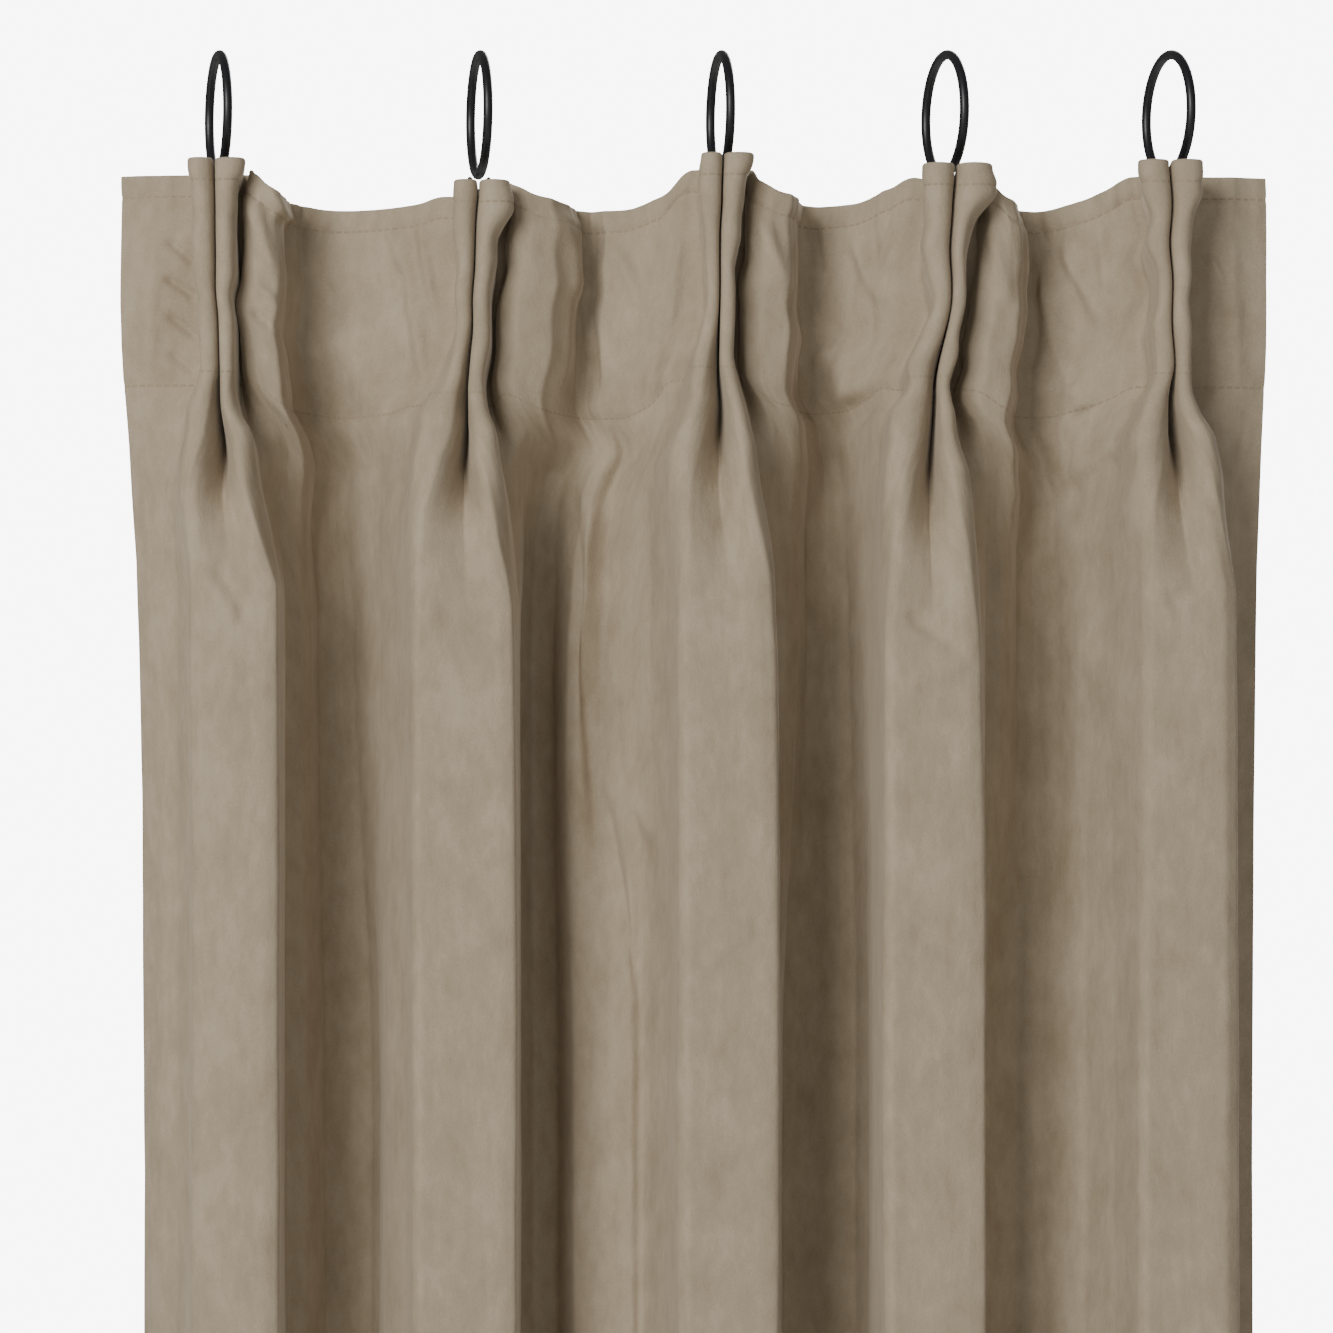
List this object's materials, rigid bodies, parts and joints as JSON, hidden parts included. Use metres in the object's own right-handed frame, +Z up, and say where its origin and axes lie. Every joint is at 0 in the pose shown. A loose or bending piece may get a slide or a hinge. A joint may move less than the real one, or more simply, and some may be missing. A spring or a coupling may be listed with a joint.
{
  "type": "curtain panel",
  "caption": "Long lined curtain panel with double pinch pleats at its heading, hooked to loose round rings that run on a pole.",
  "frame": {"origin": "on the axis of the pole that the rings run on, half way between the first and the last pleat", "axes": "+X along the pole, to the right as seen from the room; -Y towards the room; +Z up"},
  "size_m": [0.5524, 0.0868, 2.1966],
  "materials": {
    "velvet": "short-pile cotton velvet, taupe",
    "heading_tape": "stiff woven heading tape, natural",
    "lining": "plain cotton sateen lining, ivory",
    "black_paint": "satin black on steel wire",
    "bright_steel": "zinc-bright spring wire",
    "thread": "matching sewing thread"
  },
  "bodies": {
    "pleat_1": {"face_pleat_1": "velvet", "tape_pleat_1": "heading_tape", "lining_pleat_1": "lining", "hook_1": "bright_steel", "tack_1": "thread", "face_space_1": "velvet", "tape_space_1": "heading_tape", "lining_space_1": "lining"},
    "ring_1": {"ring_1": "black_paint", "ring_eye_1": "black_paint"},
    "pleat_2": {"face_pleat_2": "velvet", "tape_pleat_2": "heading_tape", "lining_pleat_2": "lining", "hook_2": "bright_steel", "tack_2": "thread", "face_space_2": "velvet", "tape_space_2": "heading_tape", "lining_space_2": "lining"},
    "ring_2": {"ring_2": "black_paint", "ring_eye_2": "black_paint"},
    "pleat_3": {"face_pleat_3": "velvet", "tape_pleat_3": "heading_tape", "lining_pleat_3": "lining", "hook_3": "bright_steel", "tack_3": "thread", "face_space_3": "velvet", "tape_space_3": "heading_tape", "lining_space_3": "lining"},
    "ring_3": {"ring_3": "black_paint", "ring_eye_3": "black_paint"},
    "pleat_4": {"face_pleat_4": "velvet", "tape_pleat_4": "heading_tape", "lining_pleat_4": "lining", "hook_4": "bright_steel", "tack_4": "thread", "face_space_4": "velvet", "tape_space_4": "heading_tape", "lining_space_4": "lining"},
    "ring_4": {"ring_4": "black_paint", "ring_eye_4": "black_paint"},
    "pleat_5": {"face_pleat_5": "velvet", "tape_pleat_5": "heading_tape", "lining_pleat_5": "lining", "hook_5": "bright_steel", "tack_5": "thread"},
    "ring_5": {"ring_5": "black_paint", "ring_eye_5": "black_paint"}
  },
  "joints": [
    {"name": "draw_2", "type": "slide", "parent": "pleat_1", "child": "pleat_2", "axis": [-1, 0, 0], "range_m": [0, 0.069], "deforming": ["face_space_1", "tape_space_1", "lining_space_1"]},
    {"name": "draw_3", "type": "slide", "parent": "pleat_2", "child": "pleat_3", "axis": [-1, 0, 0], "range_m": [0, 0.0595], "deforming": ["face_space_2", "tape_space_2", "lining_space_2"]},
    {"name": "draw_4", "type": "slide", "parent": "pleat_3", "child": "pleat_4", "axis": [-1, 0, 0], "range_m": [0, 0.0515], "deforming": ["face_space_3", "tape_space_3", "lining_space_3"]},
    {"name": "draw_5", "type": "slide", "parent": "pleat_4", "child": "pleat_5", "axis": [-1, 0, 0], "range_m": [0, 0.051], "deforming": ["face_space_4", "tape_space_4", "lining_space_4"]},
    {"name": "turn_1", "type": "hinge", "parent": "pleat_1", "child": "ring_1", "pos_m": [-0.2295, 0, -0.0456], "axis": [0, 0, 1], "range_deg": [-55, 25]},
    {"name": "turn_2", "type": "hinge", "parent": "pleat_2", "child": "ring_2", "pos_m": [-0.1035, 0, -0.0456], "axis": [0, 0, 1], "range_deg": [-51, 29]},
    {"name": "turn_3", "type": "hinge", "parent": "pleat_3", "child": "ring_3", "pos_m": [0.013, 0, -0.0456], "axis": [0, 0, 1], "range_deg": [-49, 31]},
    {"name": "turn_4", "type": "hinge", "parent": "pleat_4", "child": "ring_4", "pos_m": [0.1215, 0, -0.0456], "axis": [0, 0, 1], "range_deg": [-55, 25]},
    {"name": "turn_5", "type": "hinge", "parent": "pleat_5", "child": "ring_5", "pos_m": [0.2295, 0, -0.0456], "axis": [0, 0, 1], "range_deg": [-55, 25]}
  ],
  "couplings": [
    {"joint": "draw_3", "follows": "draw_2", "ratio": 0.8623},
    {"joint": "draw_4", "follows": "draw_2", "ratio": 0.7463},
    {"joint": "draw_5", "follows": "draw_2", "ratio": 0.7391}
  ]
}
